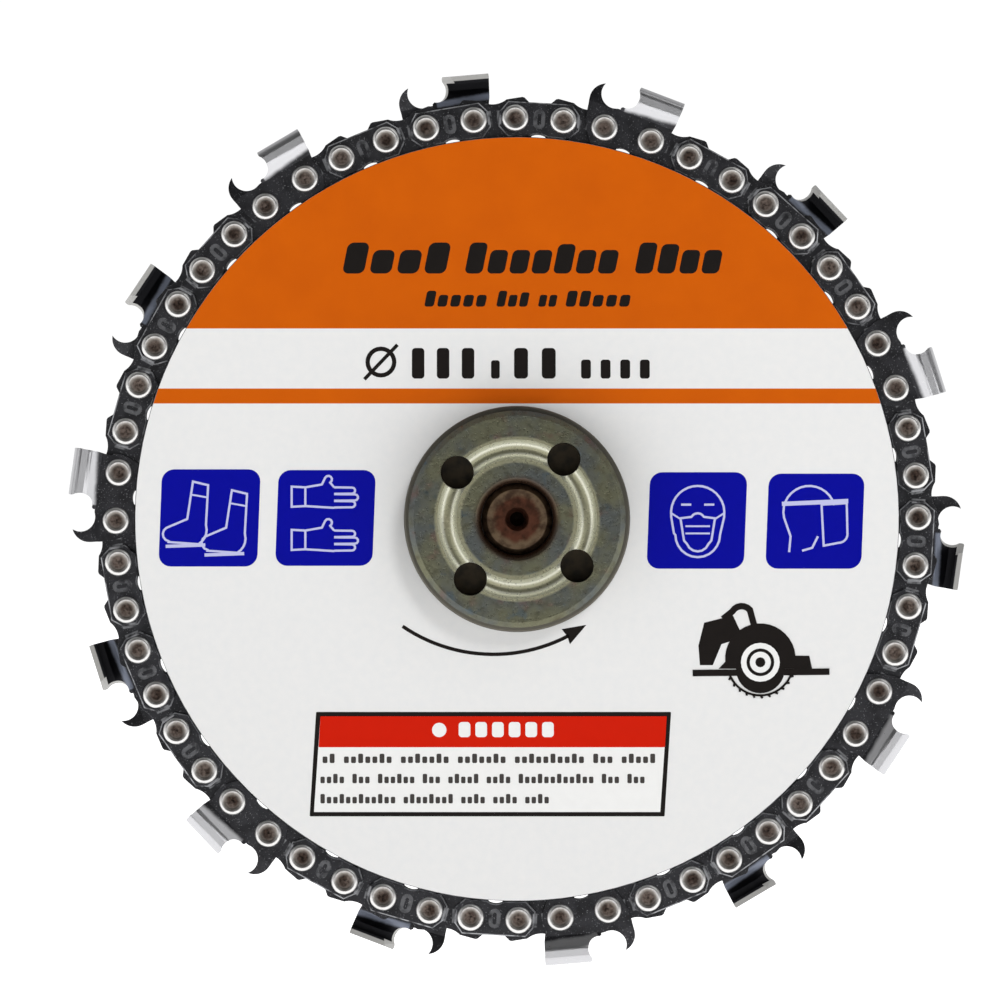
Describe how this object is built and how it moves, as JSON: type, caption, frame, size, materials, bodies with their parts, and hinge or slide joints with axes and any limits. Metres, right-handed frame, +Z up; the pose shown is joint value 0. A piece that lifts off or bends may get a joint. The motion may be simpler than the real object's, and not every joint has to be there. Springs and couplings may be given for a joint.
{
  "type": "angle grinder carving disc",
  "caption": "Wood carving disc for an angle grinder: a ring of saw chain riding in the groove between two labelled steel plates, clamped by a flange nut on a threaded spindle.",
  "frame": {"origin": "on the spindle's axis, at the plane where its collar meets the bearing seat", "axes": "+Y back along the spindle away from the label, +Z up as the label is read, +X to the right of someone reading the label"},
  "size_m": [0.1246, 0.0315, 0.1242],
  "materials": {
    "spindle_steel": "turned, lightly oiled",
    "flange_steel": "turned",
    "ring_steel": "turned",
    "washer_steel": "blackened and oiled",
    "zinc_plate": "yellow-green zinc passivate",
    "plate_steel": "ground",
    "label_film": "printed film, satin",
    "rivet_steel": "peened",
    "cutter_chrome": "chrome plated tooth on a blued link",
    "link_steel": "blued and polished"
  },
  "bodies": {
    "spindle": {"spindle": "spindle_steel", "inner_flange": "flange_steel"},
    "disc": {"front_plate": "plate_steel", "back_plate": "plate_steel", "spacer_plate": "plate_steel", "front_label": "label_film", "plate_rivets": "rivet_steel", "reducer_ring": "ring_steel"},
    "chain": {"front_cutter_1": "cutter_chrome", "front_cutter_2": "cutter_chrome", "front_cutter_3": "cutter_chrome", "front_cutter_4": "cutter_chrome", "front_cutter_5": "cutter_chrome", "front_cutter_6": "cutter_chrome", "front_cutter_7": "cutter_chrome", "back_cutter_1": "cutter_chrome", "back_cutter_2": "cutter_chrome", "back_cutter_3": "cutter_chrome", "back_cutter_4": "cutter_chrome", "back_cutter_5": "cutter_chrome", "back_cutter_6": "cutter_chrome", "back_cutter_7": "cutter_chrome", "drive_link_01": "link_steel", "drive_link_02": "link_steel", "drive_link_03": "link_steel", "drive_link_04": "link_steel", "drive_link_05": "link_steel", "drive_link_06": "link_steel", "drive_link_07": "link_steel", "drive_link_08": "link_steel", "drive_link_09": "link_steel", "drive_link_10": "link_steel", "drive_link_11": "link_steel", "drive_link_12": "link_steel", "drive_link_13": "link_steel", "drive_link_14": "link_steel", "drive_link_15": "link_steel", "drive_link_16": "link_steel", "drive_link_17": "link_steel", "drive_link_18": "link_steel", "drive_link_19": "link_steel", "drive_link_20": "link_steel", "drive_link_21": "link_steel", "drive_link_22": "link_steel", "drive_link_23": "link_steel", "drive_link_24": "link_steel", "drive_link_25": "link_steel", "drive_link_26": "link_steel", "drive_link_27": "link_steel", "drive_link_28": "link_steel", "front_tie_straps": "link_steel", "back_tie_straps": "link_steel", "front_cutter_straps": "link_steel", "back_cutter_straps": "link_steel", "chain_rivets": "rivet_steel"},
    "washer": {"clamp_washer": "washer_steel"},
    "nut": {"flange_nut": "zinc_plate"}
  },
  "joints": [
    {"name": "disc_turn", "type": "hinge", "parent": "spindle", "child": "disc", "pos_m": [0, -0.00975, 0], "axis": [0, 1, 0], "continuous": true},
    {"name": "chain_slip", "type": "hinge", "parent": "disc", "child": "chain", "pos_m": [0, -0.00975, 0], "axis": [0, 1, 0], "continuous": true},
    {"name": "washer_travel", "type": "slide", "parent": "spindle", "child": "washer", "axis": [0, -1, 0], "range_m": [0, 0.00375]},
    {"name": "nut_turn", "type": "hinge", "parent": "washer", "child": "nut", "pos_m": [0, -0.0188, 0], "axis": [0, -1, 0], "range_deg": [0, 900]}
  ],
  "couplings": [
    {"joint": "washer_travel", "follows": "nut_turn", "m_per_rad": 0.00023873}
  ]
}
